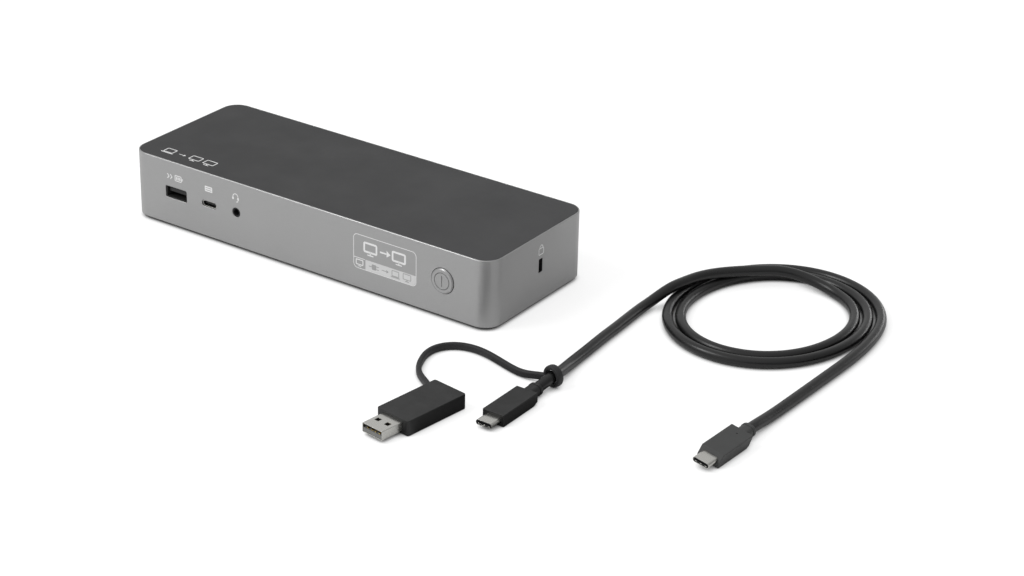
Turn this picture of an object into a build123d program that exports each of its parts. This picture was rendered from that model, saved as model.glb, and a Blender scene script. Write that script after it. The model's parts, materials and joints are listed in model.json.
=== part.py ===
from build123d import *
import math
import os

# Laptop docking station with its host cable and tethered adapter, in millimetres.
# Origin: centre of the dock's footprint, on the desk. +X is to the right seen from the
# front, +Y to the rear, +Z up. One STEP file is written for each node.

# ---------------------------------------------------------------- driving dimensions
# Casing
DOCK_W = 220.0
DOCK_D = 79.2
TOP_Z = 35.8
CORNER_R = 9.0
WALL = 2.0
FOOT_H = 1.0
BASE_LIP = 0.5
BASE_INSET = 0.6
BASE_T = 2.6
COVER_T = 2.2
RIM = 0.6
RIM_CHAMFER = 0.25
EASED_EDGE = 0.3
PORT_EDGE = 0.15
FIT_GAP = 0.2
PILLAR_X, PILLAR_Y = 98.0, 28.0
FOOT_X, FOOT_Y = 80.0, 27.0
FOOT_R = 6.0
FOOT_SUNK = 0.6

# Boards
BOARD_Z = 7.0
BOARD_T = 1.6
BOARD_SCREWS = [(-20.0, -31.0), (62.0, -31.0), (-66.0, 8.0), (66.0, 8.0)]
FRONT_BOARD_T = 1.2
FRONT_BOARD_X = (-92.0, -30.0)
FRONT_BOARD_SCREWS = [(-89.0, -18.0), (-33.0, -18.0)]

# Front ports and power button: centre x and z, and the openings in the wall
FRONT_USB_A = (-81.1, 19.0)
FRONT_USB_C = (-59.6, 19.1)
JACK = (-42.2, 19.7)
BUTTON = (82.8, 19.6)
USB_A_WINDOW = (13.8, 6.2)
USB_C_WINDOW = (9.45, 3.4)
JACK_WINDOW_R = 2.5
BUTTON_R = 6.3
BUTTON_GAP = 0.2
BUTTON_PROUD = 0.7
BUTTON_BEVEL = 0.55
BUTTON_MARK_R = 4.35
BUTTON_MARK_LINE = 0.35
BUTTON_MARK_DEPTH = 0.2
SWITCH_FRONT = 6.6
SWITCH_BACK = 10.1

# Lock slot in the right-hand end, centre y and z
LOCK_Y, LOCK_Z = 1.2, 19.9
LOCK_W, LOCK_H = 3.2, 7.0

# Rear ports, centre x
DC_X = 86.0
REAR_USB_C_X = 70.0
DISPLAYPORT_X = [50.5, 8.5]
HDMI_X = [29.5, -12.5]
ETHERNET_X = -36.0
USB_STACK_X = [-59.0, -78.0]
USB_STACK_LEVELS = (-4.2, 4.2)
REAR_WINDOW_W = 194.0
REAR_WINDOW_Z = (6.2, 29.5)
REAR_FLANGE = (200.0, 26.0)

# Standard connector sizes
USB_A_MOUTH = (12.5, 5.12)
USB_A_WALL = 0.3
USB_A_DEPTH = 14.0
USB_C_MOUTH = (8.34, 2.56)
USB_C_WALL = 0.3
USB_C_DEPTH = 7.3
USB_STACK_BODY = (13.6, 15.6)
HDMI_H = 4.54
DISPLAYPORT_H = 4.76
VIDEO_WALL = 0.35
ETHERNET_BODY = (16.1, 13.5)
ETHERNET_DEPTH = 13.0
JACK_BORE_R = 1.8
JACK_BORE_LENGTH = 14.0
JACK_LINER = 0.3
DC_BODY = (9.0, 11.0)
DC_BORE_R = 3.15
DC_PIN_R = 1.25
DC_ROOT_R = 1.0
DC_PIN_LENGTH = 9.5

# Cable set
CABLE_R = 2.6
COIL_X, COIL_Y = 206.5, 51.8
COIL_R = 38.2
COIL_GROWTH = 6.2
COIL_OVAL = 3.07
COIL_OVAL_ANGLE = 79.3
TURN_LIFT = 5.36  # height of a turn lying on another one
LEAD_A_CLIMB = (  # x, y and share of the lift where the first lead climbs onto the coil
    (154.7, 4.0, 0.0), (154.2, 12.0, 0.006), (154.0, 20.5, 0.055), (154.9, 28.5, 0.24),
    (156.9, 35.8, 0.66), (158.9, 41.8, 0.95), (160.6, 48.2, 1.0), (162.6, 55.5, 1.0), (166.0, 62.8, 1.0),
)
PIVOT_A = (155.3, -6.0)
PIVOT_B = (255.9, 10.0)
BEND_GAP = 0.15
PLUG_A_X, PLUG_A_Y = 159.5, -94.0
PLUG_A_SIZE = (11.3, 26.0, 5.8)
PLUG_A_NECK = 5.6
PLUG_A_TIP = 6.9
PLUG_B_X, PLUG_B_Y = 252.8, -68.9
PLUG_B_TURN = -3.0
PLUG_B_ROLL = 10.0
PLUG_B_SIZE = (11.3, 25.2, 5.6)
PLUG_B_NECK = 4.4
PLUG_B_TIP = 5.8
LEAD_B_X = 255.75
LEAD_B_TURN = -2.25
TIP_LENGTH = 9.2
GRIP_EDGE = 0.35
NECK = (6.6, 5.2, 2.4)
COLLAR = (7.2, 5.6, 2.7)
COLLAR_LENGTH = 2.0
RING_X, RING_Y = 161.2, -63.2
RING_TURN = -12.0
RING_R = 5.2
RING_BORE_R = 3.5
RING_W = 3.6
STRAP_W, STRAP_H = 2.4, 3.4
ADAPTER_X, ADAPTER_Y = 130.3, -119.2
ADAPTER_TURN = -8.0
ADAPTER_SIZE = (19.0, 35.8, 7.3)
USB_A_PLUG = (12.0, 4.5)
USB_A_PLUG_LENGTH = 12.0

# Worked out from the above
FRONT_Y = -DOCK_D / 2
REAR_Y = DOCK_D / 2
RIGHT_X = DOCK_W / 2
HOUSING_Z = FOOT_H + BASE_LIP
BASE_TOP = FOOT_H + BASE_T
COVER_Z = TOP_Z - COVER_T
BOARD_TOP = BOARD_Z + BOARD_T
FRONT_BOARD_TOP = FRONT_USB_A[1] - USB_A_MOUTH[1] / 2 - USB_A_WALL
INNER_W = DOCK_W - 2 * WALL
INNER_D = DOCK_D - 2 * WALL
INNER_R = CORNER_R - WALL
FRONT_MOUTH_Y = FRONT_Y + 0.6
REAR_PANEL_Y = REAR_Y - 0.2
REAR_MOUTH_Y = REAR_PANEL_Y - 0.2
REAR_USB_C_Z = BOARD_TOP + USB_C_MOUTH[1] / 2 + USB_C_WALL
DISPLAYPORT_Z = BOARD_TOP + DISPLAYPORT_H / 2 + VIDEO_WALL
HDMI_Z = BOARD_TOP + HDMI_H / 2 + VIDEO_WALL
ETHERNET_Z = BOARD_TOP + ETHERNET_BODY[1] / 2
USB_STACK_Z = BOARD_TOP + USB_STACK_BODY[1] / 2
DC_Z = BOARD_TOP + DC_BODY[1] / 2
PLUG_A_Z = PLUG_A_SIZE[2] / 2
PLUG_B_LEAN = math.radians(PLUG_B_ROLL)
PLUG_B_Z = (PLUG_B_SIZE[0] * math.sin(PLUG_B_LEAN) + PLUG_B_SIZE[2] * math.cos(PLUG_B_LEAN)) / 2
PILLARS = [(sx * PILLAR_X, sy * PILLAR_Y) for sx in (-1, 1) for sy in (-1, 1)]
FEET = [(0.0, 0.0)] + [(sx * FOOT_X, sy * FOOT_Y) for sx in (-1, 1) for sy in (-1, 1)]


# ---------------------------------------------------------------- helpers
def block(x, y, z):
    """Box between the pairs of limits x, y and z."""
    size = [high - low for low, high in (x, y, z)]
    middle = [(high + low) / 2 for low, high in (x, y, z)]
    return Pos(*middle) * Box(*size)


def slab(width, depth, radius, z0, z1):
    """Rounded rectangle centred on the origin, from z0 up to z1."""
    outline = Plane.XY.offset(z0) * RectangleRounded(width, depth, radius)
    return extrude(outline, amount=z1 - z0)


def disc(x, y, radius, z0, z1):
    """Upright cylinder."""
    return Pos(x, y, (z0 + z1) / 2) * Cylinder(radius, z1 - z0)


def along_y(outline, x, z, y0, y1):
    """Prism from y0 to y1 of an outline drawn as seen from the front."""
    face = Plane(origin=(x, y1, z), x_dir=(1, 0, 0), z_dir=(0, -1, 0)) * outline
    return extrude(face, amount=y1 - y0)


def along_x(outline, y, z, x0, x1):
    """Prism from x0 to x1 of an outline drawn as seen from the right-hand end."""
    face = Plane(origin=(x0, y, z), x_dir=(0, 1, 0), z_dir=(1, 0, 0)) * outline
    return extrude(face, amount=x1 - x0)


def at_front(x, z):
    """Place of a front port whose own frame has its mouth at y = 0, facing -Y."""
    return Pos(x, FRONT_MOUTH_Y, z)


def at_rear(x, z):
    """Place of a rear port, turned to face +Y."""
    return Pos(x, REAR_MOUTH_Y, z) * Rot(0, 0, 180)


def smooth(t):
    """Ease from 0 to 1 while t goes from 0 to 1."""
    t = min(max(t, 0.0), 1.0)
    return t * t * (3 - 2 * t)


# ---------------------------------------------------------------- casing
def housing_frame():
    """Wrap-around wall of the dock, with a rebate for the top cover."""
    shell = slab(DOCK_W, DOCK_D, CORNER_R, HOUSING_Z, TOP_Z)
    shell = chamfer(shell.faces().sort_by(Axis.Z)[-1].edges(), RIM_CHAMFER)
    shell = chamfer(shell.faces().sort_by(Axis.Z)[0].edges(), EASED_EDGE)
    shell -= slab(INNER_W, INNER_D, INNER_R, HOUSING_Z, TOP_Z)
    shell -= slab(DOCK_W - 2 * RIM, DOCK_D - 2 * RIM, CORNER_R - RIM, COVER_Z, TOP_Z)
    front_wall = (FRONT_Y, FRONT_Y + WALL)
    shell -= along_y(RectangleRounded(*USB_A_WINDOW, 0.9), *FRONT_USB_A, *front_wall)
    shell -= along_y(SlotOverall(*USB_C_WINDOW), *FRONT_USB_C, *front_wall)
    shell -= along_y(Circle(JACK_WINDOW_R), *JACK, *front_wall)
    shell -= along_y(Circle(BUTTON_R + BUTTON_GAP), *BUTTON, *front_wall)
    shell -= along_x(lock_outline(), LOCK_Y, LOCK_Z, RIGHT_X - WALL, RIGHT_X)
    openings = []
    for outside in (shell.faces().sort_by(Axis.Y)[0], shell.faces().sort_by(Axis.X)[-1]):
        openings += [edge for wire in outside.inner_wires() for edge in wire.edges()]
    shell = chamfer(openings, PORT_EDGE)
    window_z = sum(REAR_WINDOW_Z) / 2
    window_h = REAR_WINDOW_Z[1] - REAR_WINDOW_Z[0]
    window = RectangleRounded(REAR_WINDOW_W, window_h, 1.5)
    return shell - along_y(window, 0, window_z, REAR_Y - WALL, REAR_Y)


def lock_outline():
    return RectangleRounded(LOCK_W, LOCK_H, 0.5)


def top_cover():
    """Flush lid with a locating rib and the four screw pillars."""
    gap = RIM + FIT_GAP / 2
    lid = slab(DOCK_W - 2 * gap, DOCK_D - 2 * gap, CORNER_R - gap, COVER_Z, TOP_Z)
    rib_w, rib_d = INNER_W - 2 * FIT_GAP, INNER_D - 2 * FIT_GAP
    rib_z, rib_t = COVER_Z - 2.5, 1.4
    rib = slab(rib_w, rib_d, INNER_R - FIT_GAP, rib_z, COVER_Z)
    rib -= slab(rib_w - 2 * rib_t, rib_d - 2 * rib_t, INNER_R - rib_t, rib_z, COVER_Z)
    lid += rib
    for x, y in PILLARS:
        lid += disc(x, y, 3.25, BOARD_TOP, COVER_Z)
    for x, y in PILLARS:
        lid -= disc(x, y, 1.5, BOARD_TOP, BOARD_TOP + 12)
    return lid


def base_cover():
    """Bottom plate with bosses, foot recesses, screw counterbores and air slots."""
    lip_w, lip_d = DOCK_W - 2 * BASE_INSET, DOCK_D - 2 * BASE_INSET
    base = slab(lip_w, lip_d, CORNER_R - BASE_INSET, FOOT_H, HOUSING_Z)
    plug_w, plug_d = INNER_W - 2 * FIT_GAP, INNER_D - 2 * FIT_GAP
    base += slab(plug_w, plug_d, INNER_R - FIT_GAP, HOUSING_Z, BASE_TOP)
    for x, y in PILLARS:
        base += disc(x, y, 4.5, BASE_TOP, BOARD_Z)
    for x, y in BOARD_SCREWS:
        base += disc(x, y, 3.0, BASE_TOP, BOARD_Z)
    for x, y in PILLARS:
        base -= disc(x, y, 1.65, FOOT_H, BOARD_Z)
        base -= disc(x, y, 3.0, FOOT_H, FOOT_H + 2.1)
    for x, y in BOARD_SCREWS:
        base -= disc(x, y, 1.25, BOARD_Z - 2.4, BOARD_Z)
    for x, y in FEET:
        base -= disc(x, y, FOOT_R + 0.1, FOOT_H, FOOT_H + FOOT_SUNK)
    slot = extrude(Plane.XY.offset(FOOT_H) * SlotOverall(14, 2, rotation=90), amount=BASE_T)
    for column in range(-6, 7):
        for row in (-16, 16):
            base -= Pos(column * 7.5, row, 0) * slot
    return base


def rear_panel():
    """Black port panel that clips into the window of the rear wall."""
    z = sum(REAR_WINDOW_Z) / 2
    height = REAR_WINDOW_Z[1] - REAR_WINDOW_Z[0]
    face = RectangleRounded(REAR_WINDOW_W - 2 * FIT_GAP, height - 2 * FIT_GAP, 1.3)
    inner_y = REAR_Y - WALL
    panel = along_y(face, 0, z, inner_y, REAR_PANEL_Y)
    panel += along_y(RectangleRounded(*REAR_FLANGE, 2), 0, z, inner_y - 1.0, inner_y)
    for hole in rear_openings():
        panel -= hole
    vent = SlotOverall(9, 1.2)
    for column in range(-3, 4):
        panel -= along_y(vent, column * 12.5, 26.6, inner_y - 1.0, REAR_PANEL_Y)
    return panel


def rear_openings():
    """Cutters through the rear panel, one for each port, a little larger than it."""
    def cutter(outline, x, z):
        return at_rear(x, z) * along_y(outline, 0, 0, -1.0, 4.0)

    cutters = [cutter(grown(DC_BODY, 0.2), DC_X, DC_Z)]
    usb_c = SlotOverall(USB_C_MOUTH[0] + 1.0, USB_C_MOUTH[1] + 1.0)
    cutters.append(cutter(usb_c, REAR_USB_C_X, REAR_USB_C_Z))
    cutters.append(cutter(grown(ETHERNET_BODY, 0.2), ETHERNET_X, ETHERNET_Z))
    for x in DISPLAYPORT_X:
        cutters.append(cutter(offset(displayport_outline(), VIDEO_WALL + 0.2), x, DISPLAYPORT_Z))
    for x in HDMI_X:
        cutters.append(cutter(offset(hdmi_outline(), VIDEO_WALL + 0.2), x, HDMI_Z))
    for x in USB_STACK_X:
        cutters.append(cutter(grown(USB_STACK_BODY, 0.2), x, USB_STACK_Z))
    return cutters


def grown(size, margin):
    """Rectangular opening that leaves margin all round a body of this size."""
    width, height = size
    return RectangleRounded(width + 2 * margin, height + 2 * margin, 0.5)


def rubber_feet():
    feet = []
    for x, y in FEET:
        foot = disc(x, y, FOOT_R, 0, FOOT_H + FOOT_SUNK)
        rim = foot.edges().group_by(Axis.Z)[0]
        feet.append(fillet(rim, 0.4))
    return feet


def screw(x, y, head_r, head_z, head_t, shank_r, shank_z):
    """Upright screw: the head starts at head_z and the shank runs to shank_z."""
    far = head_z + head_t if shank_z > head_z else head_z
    low, high = sorted((far, shank_z))
    body = disc(x, y, head_r, head_z, head_z + head_t) + disc(x, y, shank_r, low, high)
    drive_z = head_z if shank_z > head_z else head_z + head_t
    for turn in (0, 90):
        body -= Pos(x, y, drive_z) * Rot(0, 0, turn) * Box(head_r, 0.6, 1.2)
    return body


def case_screws():
    """Four screws from below, through the base cover and main board, into the lid."""
    head_z = FOOT_H + 0.5
    return [screw(x, y, 2.8, head_z, 1.6, 1.5, BOARD_TOP + 11) for x, y in PILLARS]


def lock_plate():
    """Steel plate that backs the lock slot."""
    inner_x = RIGHT_X - WALL
    plate = block((inner_x - 1.2, inner_x), (LOCK_Y - 7, LOCK_Y + 7), (LOCK_Z - 8, LOCK_Z + 8))
    return plate - along_x(lock_outline(), LOCK_Y, LOCK_Z, inner_x - 1.2, inner_x)


# ---------------------------------------------------------------- boards
def main_board():
    board = slab(208, 71, 2, BOARD_Z, BOARD_TOP)
    board = Pos(0, REAR_Y - WALL - 1.2 - 35.5, 0) * board
    for x, y in PILLARS:
        board -= disc(x, y, 1.7, BOARD_Z, BOARD_TOP)
    for x, y in BOARD_SCREWS:
        board -= disc(x, y, 1.4, BOARD_Z, BOARD_TOP)
    return board


def front_board():
    z0 = FRONT_BOARD_TOP - FRONT_BOARD_T
    front = FRONT_Y + WALL + FIT_GAP
    board = block(FRONT_BOARD_X, (front, -15), (z0, FRONT_BOARD_TOP))
    for x, y in FRONT_BOARD_SCREWS:
        board -= disc(x, y, 1.4, z0, FRONT_BOARD_TOP)
    return board


def front_board_standoffs():
    top = FRONT_BOARD_TOP - FRONT_BOARD_T
    posts = []
    for x, y in FRONT_BOARD_SCREWS:
        hexagon = Plane.XY.offset(BOARD_TOP) * Pos(x, y) * RegularPolygon(2.9, 6)
        post = extrude(hexagon, amount=top - BOARD_TOP)
        posts.append(post - disc(x, y, 1.25, top - 4.5, top))
    return posts


def board_screws():
    """Screws of the main board into the base cover and of the front board."""
    main = [screw(x, y, 2.5, BOARD_TOP, 1.5, 1.25, BOARD_Z - 2.2) for x, y in BOARD_SCREWS]
    top = FRONT_BOARD_TOP
    return main + [screw(x, y, 2.5, top, 1.5, 1.25, top - 5.2) for x, y in FRONT_BOARD_SCREWS]


def board_link_header():
    """Stacking header that carries the front ports' signals to the main board."""
    top = FRONT_BOARD_TOP - FRONT_BOARD_T
    return block((-72, -48), (-21, -16), (BOARD_TOP, top))


def button_board():
    """Upright board that carries the power switch."""
    x, z = BUTTON
    front = FRONT_Y + SWITCH_BACK
    return block((x - 11, x + 11), (front, front + FRONT_BOARD_T), (BOARD_TOP, z + 7.5))


def power_led():
    x, z = BUTTON
    board = FRONT_Y + SWITCH_BACK
    return block((x - 0.8, x + 0.8), (board - 0.8, board), (z + 4.8, z + 5.6))


def display_chip():
    return block((11.5, 28.5), (-16.5, 0.5), (BOARD_TOP, BOARD_TOP + 1.6))


def thermal_pad():
    return block((11.5, 28.5), (-16.5, 0.5), (BOARD_TOP + 1.6, BOARD_TOP + 2.4))


def heat_sink():
    """Finned block that stands on the thermal pad over the display chip."""
    z = BOARD_TOP + 2.4
    sink = block((-4, 44), (-28, 12), (z, z + 2.5))
    for fin in range(13):
        x = -4 + fin * (48 - 1.2) / 12
        sink += block((x, x + 1.2), (-28, 12), (z + 2.5, z + 12))
    return sink


def hub_chips():
    places = [(-50, 4, 9), (-20, 8, 7), (58, -6, 8), (78, 4, 6), (-85, 6, 7)]
    chips = []
    for x, y, side in places:
        chips.append(Pos(x, y, 0) * slab(side, side, 0.2, BOARD_TOP, BOARD_TOP + 1.0))
    return chips


def capacitors():
    """Electrolytic cans, each with a square base."""
    places = [(76, 15), (84, 15), (92, 15), (-74, 15), (-85, 15), (58, 14)]
    cans = []
    for x, y in places:
        can = disc(x, y, 3.15, BOARD_TOP + 0.8, BOARD_TOP + 7.7)
        cans.append(can + block((x - 3.3, x + 3.3), (y - 3.3, y + 3.3), (BOARD_TOP, BOARD_TOP + 0.8)))
    return cans


def inductors():
    places = [(72, -12), (72, -21), (84, -12), (-80, -8), (-68, -6)]
    coils = []
    for x, y in places:
        coil = slab(7, 7, 1.2, BOARD_TOP, BOARD_TOP + 3.5)
        coils.append(Pos(x, y, 0) * coil)
    return coils


def ethernet_transformer():
    return block((-43.5, -28.5), (6, 18), (BOARD_TOP, BOARD_TOP + 5.8))


# ---------------------------------------------------------------- ports, own frame
# Each is drawn with its mouth at y = 0, facing -Y, and its opening centred on x = z = 0.
def tube(outer, inner, depth, floor=0.0):
    """Straight shell between two outlines, closed at the back when floor isn't 0."""
    return along_y(outer, 0, 0, 0, depth) - along_y(inner, 0, 0, 0, depth - floor)


def usb_a_shell():
    width, height = USB_A_MOUTH
    outer = RectangleRounded(width + 2 * USB_A_WALL, height + 2 * USB_A_WALL, 0.6)
    return tube(outer, RectangleRounded(width, height, 0.4), USB_A_DEPTH, USB_A_WALL)


def usb_a_tongue():
    """Insulator with the contact tongue in the upper half of the mouth."""
    width, height = USB_A_MOUTH
    back = along_y(RectangleRounded(width, height, 0.4), 0, 0, 10.0, USB_A_DEPTH - USB_A_WALL)
    return back + block((-5.55, 5.55), (1.2, 10.0), (-0.1, 1.74))


def usb_a_contacts():
    """Four flat contacts on the underside of the tongue."""
    return [block((x - 0.5, x + 0.5), (2.0, 10.0), (-0.3, -0.1)) for x in (-3.5, -1.0, 1.0, 3.5)]


def usb_c_shell():
    width, height = USB_C_MOUTH
    outer = SlotOverall(width + 2 * USB_C_WALL, height + 2 * USB_C_WALL)
    return tube(outer, SlotOverall(width, height), USB_C_DEPTH)


def usb_c_tongue(board_drop):
    """Insulator and tongue; its rear block stands on a board board_drop below."""
    tongue = along_y(SlotOverall(*USB_C_MOUTH), 0, 0, 5.6, USB_C_DEPTH)
    tongue += block((-3.35, 3.35), (1.0, 5.6), (-0.35, 0.35))
    return tongue + block((-4.4, 4.4), (USB_C_DEPTH, 9.0), (-board_drop, 1.5))


def hdmi_outline():
    """D-shaped mouth, narrower at the bottom."""
    top, bottom = HDMI_H / 2, -HDMI_H / 2
    corners = [(-7, top), (7, top), (7, -0.4), (5.3, bottom), (-5.3, bottom), (-7, -0.4)]
    return make_face(Polyline(*corners, close=True))


def displayport_outline():
    """Rectangular mouth with one cut corner."""
    top, bottom = DISPLAYPORT_H / 2, -DISPLAYPORT_H / 2
    corners = [(-8, top), (8, top), (8, bottom), (-6.2, bottom), (-8, -0.6)]
    return make_face(Polyline(*corners, close=True))


def video_shell(outline):
    return tube(offset(outline, VIDEO_WALL), outline, 12.0, VIDEO_WALL)


def video_tongue(outline, half_width, z0, z1):
    back = along_y(outline, 0, 0, 9.5, 12.0 - VIDEO_WALL)
    return back + block((-half_width, half_width), (1.5, 9.5), (z0, z1))


def ethernet_mouth():
    """Plug opening with the two steps of the latch above it."""
    mouth = Rectangle(11.8, 7.0) + Pos(0, 4.0) * Rectangle(6.2, 2.0)
    return mouth + Pos(0, 5.4) * Rectangle(3.4, 1.2)


def ethernet_jack():
    body = along_y(RectangleRounded(*ETHERNET_BODY, 0.3), 0, 0, 0, ETHERNET_DEPTH + 5.0)
    body -= along_y(ethernet_mouth(), 0, -1.3, 0, ETHERNET_DEPTH)
    for side in (-1, 1):
        body -= ethernet_light(side)
    return body


def ethernet_light(side):
    """One of the two lamp windows beside the latch."""
    x = side * 5.6
    return block((x - 1.5, x + 1.5), (0, 2.5), (3.6, 5.8))


def ethernet_contacts():
    """Eight sprung wires that lean into the mouth from its floor."""
    wires = []
    for index in range(8):
        x = (index - 3.5) * 1.02
        lean = Plane(origin=(x - 0.2, 0, 0), x_dir=(0, 1, 0), z_dir=(1, 0, 0))
        path = [(3.5, -3.0), (ETHERNET_DEPTH, -4.8), (ETHERNET_DEPTH, -4.4), (3.5, -2.6)]
        wires.append(extrude(lean * make_face(Polyline(*path, close=True)), amount=0.4))
    return wires


def usb_stack_shell():
    """Steel case of two USB-A sockets, one above the other."""
    case = along_y(RectangleRounded(*USB_STACK_BODY, 0.5), 0, 0, 0, 17.5)
    for z in USB_STACK_LEVELS:
        case -= along_y(RectangleRounded(*USB_A_MOUTH, 0.4), 0, z, 0, USB_A_DEPTH - USB_A_WALL)
    return case


def usb_stack_pair(make):
    """The same insert in both levels of a stack."""
    pieces = []
    for z in USB_STACK_LEVELS:
        made = make()
        made = made if isinstance(made, list) else [made]
        pieces += [Pos(0, 0, z) * piece for piece in made]
    return pieces


def dc_jack_body():
    """Moulded power socket with a round opening around the centre pin."""
    body = along_y(RectangleRounded(*DC_BODY, 0.4), 0, 0, 0, 14.5)
    body -= along_y(Circle(DC_BORE_R), 0, 0, 0, DC_PIN_LENGTH)
    return body - along_y(Circle(DC_ROOT_R), 0, 0, DC_PIN_LENGTH, DC_PIN_LENGTH + 2.5)


def dc_jack_pin():
    pin = along_y(Circle(DC_PIN_R), 0, 0, 0.5, DC_PIN_LENGTH)
    pin = chamfer(pin.edges().group_by(Axis.Y)[0], 0.25)
    return pin + along_y(Circle(DC_ROOT_R), 0, 0, DC_PIN_LENGTH, DC_PIN_LENGTH + 2.5)


# ---------------------------------------------------------------- audio jack, switch, button
def audio_jack_body():
    """Headset socket: a block on the front board with a round collar in the wall."""
    x, z = JACK
    y0, y1 = FRONT_Y + 0.2, FRONT_Y + WALL
    body = along_y(Circle(2.4), x, z, y0, y1)
    body += block((x - 3.1, x + 3.1), (y1, y0 + JACK_BORE_LENGTH + 1.2), (FRONT_BOARD_TOP, z + 2.8))
    return body - along_y(Circle(JACK_BORE_R + JACK_LINER), x, z, y0, y0 + JACK_BORE_LENGTH)


def audio_jack_sleeve():
    """Liner of the socket; its bore takes a 3.5 mm plug."""
    x, z = JACK
    y0 = FRONT_Y + 0.2
    ring = Circle(JACK_BORE_R + JACK_LINER) - Circle(JACK_BORE_R)
    return along_y(ring, x, z, y0, y0 + JACK_BORE_LENGTH)


def power_button():
    """Round cap with a bevelled rim, a power mark, a flange and a push post."""
    x, z = BUTTON
    face_y = FRONT_Y - BUTTON_PROUD
    wall_in = FRONT_Y + WALL
    cap = along_y(Circle(BUTTON_R), x, z, face_y, wall_in)
    cap = chamfer(cap.edges().group_by(Axis.Y)[0], BUTTON_BEVEL)
    cap += along_y(Circle(BUTTON_R + 0.9), x, z, wall_in, wall_in + 1.2)
    cap += along_y(Circle(2.0), x, z, wall_in + 1.2, FRONT_Y + 5.0)
    mark = Circle(BUTTON_MARK_R) - Circle(BUTTON_MARK_R - BUTTON_MARK_LINE)
    mark += Rectangle(BUTTON_MARK_LINE, 1.3 * BUTTON_MARK_R)
    return cap - along_y(mark, x, z, face_y, face_y + BUTTON_MARK_DEPTH)


def switch_body():
    """Tactile switch behind the power button."""
    x, z = BUTTON
    y0, y1 = FRONT_Y + SWITCH_FRONT, FRONT_Y + SWITCH_BACK
    body = block((x - 3, x + 3), (y0, y1), (z - 3, z + 3))
    return body - along_y(Circle(1.8), x, z, y0, y0 + 1.3)


def switch_stem():
    x, z = BUTTON
    return along_y(Circle(1.75), x, z, FRONT_Y + 5.05, FRONT_Y + SWITCH_FRONT + 0.7)


# ---------------------------------------------------------------- cable set
def coil_point(turned, outward=0.0, lift=0.0):
    """Point of the oval spiral, turned degrees clockwise from the back of the coil."""
    oval = COIL_OVAL * math.cos(math.radians(2 * (90 - turned - COIL_OVAL_ANGLE)))
    radius = COIL_R + COIL_GROWTH * turned / 360 + oval + outward
    angle = math.radians(90 - turned)
    x = COIL_X + radius * math.cos(angle)
    y = COIL_Y + radius * math.sin(angle)
    return (x, y, CABLE_R + lift)


def crossing_point(turned):
    """Where the incoming lead, on top of the two outer turns, comes down inside them."""
    outward = 22.0 * max((-30 - turned) / 82, 0) ** 1.6
    return coil_point(turned, outward, TURN_LIFT * smooth((24 - turned) / 56))


def cable_coil():
    """The coiled middle of the cable, laid clockwise from the inside outwards."""
    reach = CABLE_R + BEND_GAP
    points = [(PIVOT_A[0] - 0.15, PIVOT_A[1] + reach, CABLE_R)]
    points += [(x, y, CABLE_R + TURN_LIFT * share) for x, y, share in LEAD_A_CLIMB]
    points += [crossing_point(turned) for turned in range(-58, 33, 6)]
    points += [coil_point(turned) for turned in range(40, 801, 20)]
    points += [lead_b_point(25.0), lead_b_point(PIVOT_B[1] + reach)]
    return cable(points, (-0.06, 1, 0), lead_b_heading())


def lead_b_point(y, lift=0.0):
    """Point of the straight lead that runs back from the outer plug."""
    return (LEAD_B_X - y * math.tan(math.radians(LEAD_B_TURN)), y, CABLE_R + lift)


def lead_b_heading():
    """Direction of that lead, towards its plug."""
    return (math.sin(math.radians(LEAD_B_TURN)), -math.cos(math.radians(LEAD_B_TURN)), 0)


def cable(points, start_direction, end_direction):
    """Round cable through the points."""
    path = Spline(*points, tangents=[start_direction, end_direction])
    section = Plane(origin=path @ 0, z_dir=path % 0) * Circle(CABLE_R)
    return sweep(section, path=path)


def lead(pivot, points, end_direction):
    """Cable that starts with a ball on the pivot it bends about, goes straight to the first
    point and on through the others."""
    heading = tuple(b - a for a, b in zip(pivot, points[0]))
    stub = extrude(Plane(origin=pivot, z_dir=heading) * Circle(CABLE_R), amount=math.hypot(*heading))
    return Pos(*pivot) * Sphere(CABLE_R) + stub + cable(points, heading, end_direction)


def cable_lead_a():
    """Lead from the coil to the plug that carries the adapter's tether."""
    x, y = PIVOT_A
    plug_back = PLUG_A_Y + PLUG_A_SIZE[1] / 2 + PLUG_A_NECK + COLLAR_LENGTH
    points = [(x + 0.25, y - 5.0, CABLE_R), (157.0, -30.0, CABLE_R + 0.02)]
    points.append((158.4, -46.0, CABLE_R + 0.35))
    points += [(RING_X - 0.35, RING_Y + 3.2, RING_R - 0.5), (RING_X, RING_Y - 0.8, RING_R - 0.1)]
    points.append((PLUG_A_X, plug_back, PLUG_A_Z))
    return lead((x, y, CABLE_R), points, (0, -1, 0))


def cable_lead_b():
    """Lead from the coil to the outer plug."""
    plug_back = PLUG_B_SIZE[1] / 2 + PLUG_B_NECK + COLLAR_LENGTH
    end = (place_plug_b() * Pos(0, plug_back, 0)).position
    turn = math.radians(PLUG_B_TURN)
    points = [lead_b_point(PIVOT_B[1] - 5.0), lead_b_point(-16.0, 0.02), lead_b_point(-36.0, 0.4)]
    points.append(tuple(end))
    return lead(lead_b_point(PIVOT_B[1]), points, (math.sin(turn), -math.cos(turn), 0))


def usb_c_plug_shell():
    """Bright tip of a USB-C plug, own frame as for the ports."""
    width, height = USB_C_MOUTH
    return tube(SlotOverall(width, height), SlotOverall(width - 0.5, height - 0.5), TIP_LENGTH)


def usb_c_plug_insert():
    """Black core inside the tip, with the slot that takes a socket's tongue."""
    width, height = USB_C_MOUTH
    core = along_y(SlotOverall(width - 0.5, height - 0.5), 0, 0, 0.3, TIP_LENGTH)
    return core - block((-3.4, 3.4), (0.3, 5.4), (-0.4, 0.4))


def place_plug_a():
    """Middle of the tethered plug's body."""
    return Pos(PLUG_A_X, PLUG_A_Y, PLUG_A_Z)


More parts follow.
